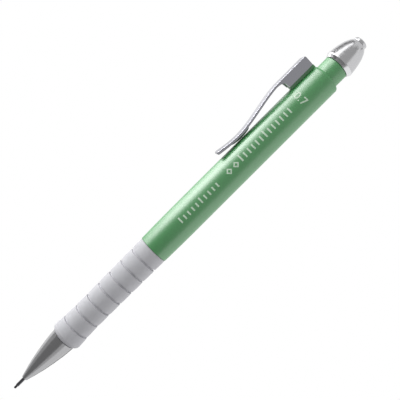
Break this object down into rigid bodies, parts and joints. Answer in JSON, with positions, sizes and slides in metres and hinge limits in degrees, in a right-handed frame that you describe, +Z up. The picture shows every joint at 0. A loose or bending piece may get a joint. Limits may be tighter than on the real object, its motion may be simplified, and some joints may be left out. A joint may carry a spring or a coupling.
{
  "type": "push-button mechanical pencil",
  "caption": "Push-button lead holder for thin leads: metal nose, grooved rubber grip, pearl green barrel, sprung pocket clip and domed metal button over an eraser.",
  "frame": {"origin": "centre of the bounding box at the height of the surface that the pencil lies on", "axes": "+X runs from the lead's tip to the button; +Y points to the side that the clip lies on, a little below level; +Z is up"},
  "size_m": [0.147, 0.0146, 0.0101],
  "materials": {
    "green_plastic": "pearl metallic green",
    "grey_rubber": "matte light grey",
    "chrome": "polished plating",
    "dark_steel": "dark smooth tube",
    "black_rubber": "matte black",
    "graphite": "black polymer lead",
    "brass": "turned brass",
    "black_plastic": "black moulded",
    "clear_plastic": "smoky translucent tube",
    "spring_steel": "bright drawn wire",
    "satin_steel": "satin plating",
    "white_eraser": "soft white"
  },
  "bodies": {
    "pencil_body": {"barrel": "green_plastic", "grip_sleeve": "grey_rubber", "thread_insert": "brass", "chuck_housing": "black_plastic", "return_spring": "spring_steel", "clip_pin": "spring_steel", "clip_spring": "spring_steel"},
    "clip": {"clip": "satin_steel"},
    "button": {"button_sleeve": "green_plastic", "magazine_tube": "clear_plastic", "magazine_coupler": "black_plastic", "chuck": "brass", "spare_lead_1": "graphite", "spare_lead_2": "graphite", "spare_lead_3": "graphite", "eraser_cup": "satin_steel", "eraser": "white_eraser"},
    "cap": {"button_cap": "chrome", "button_finial": "chrome"},
    "ring": {"chuck_ring": "brass"},
    "lead": {"lead": "graphite"},
    "nose_carrier": {"lead_retainer": "black_rubber"},
    "nose": {"nose_cone": "chrome", "lead_guide_sleeve": "dark_steel"}
  },
  "joints": [
    {"name": "button_press", "type": "slide", "parent": "pencil_body", "child": "button", "axis": [-1, 0, 0], "range_m": [0, 0.0036], "stiffness_N_per_m": 900, "springref_m": -0.0045, "deforming": ["return_spring"]},
    {"name": "chuck_ring_slide", "type": "slide", "parent": "pencil_body", "child": "ring", "axis": [-1, 0, 0], "range_m": [0, 0.001]},
    {"name": "lead_advance", "type": "slide", "parent": "pencil_body", "child": "lead", "axis": [-1, 0, 0], "range_m": [0, 0.0008]},
    {"name": "cap_pull", "type": "slide", "parent": "button", "child": "cap", "axis": [1, 0, 0], "range_m": [0, 0.009]},
    {"name": "clip_hinge", "type": "hinge", "parent": "pencil_body", "child": "clip", "pos_m": [0.0535, 0.00457, 0.00277], "axis": [0, -0.3169, -0.9484], "range_deg": [0, 5], "stiffness_Nm_per_rad": 0.35, "springref_deg": -11.46, "deforming": ["clip_spring"]},
    {"name": "nose_travel", "type": "slide", "parent": "pencil_body", "child": "nose_carrier", "axis": [-1, 0, 0], "range_m": [0, 0.0045]},
    {"name": "nose_turn", "type": "hinge", "parent": "nose_carrier", "child": "nose", "pos_m": [-0.0525, -0.00226, 0.00505], "axis": [-1, 0, 0], "range_deg": [0, 2170]}
  ],
  "couplings": [
    {"joint": "chuck_ring_slide", "follows": "button_press", "ratio": 0.27},
    {"joint": "lead_advance", "follows": "button_press", "ratio": 0.2},
    {"joint": "nose_turn", "follows": "nose_travel", "rad_per_m": 8377.6}
  ]
}
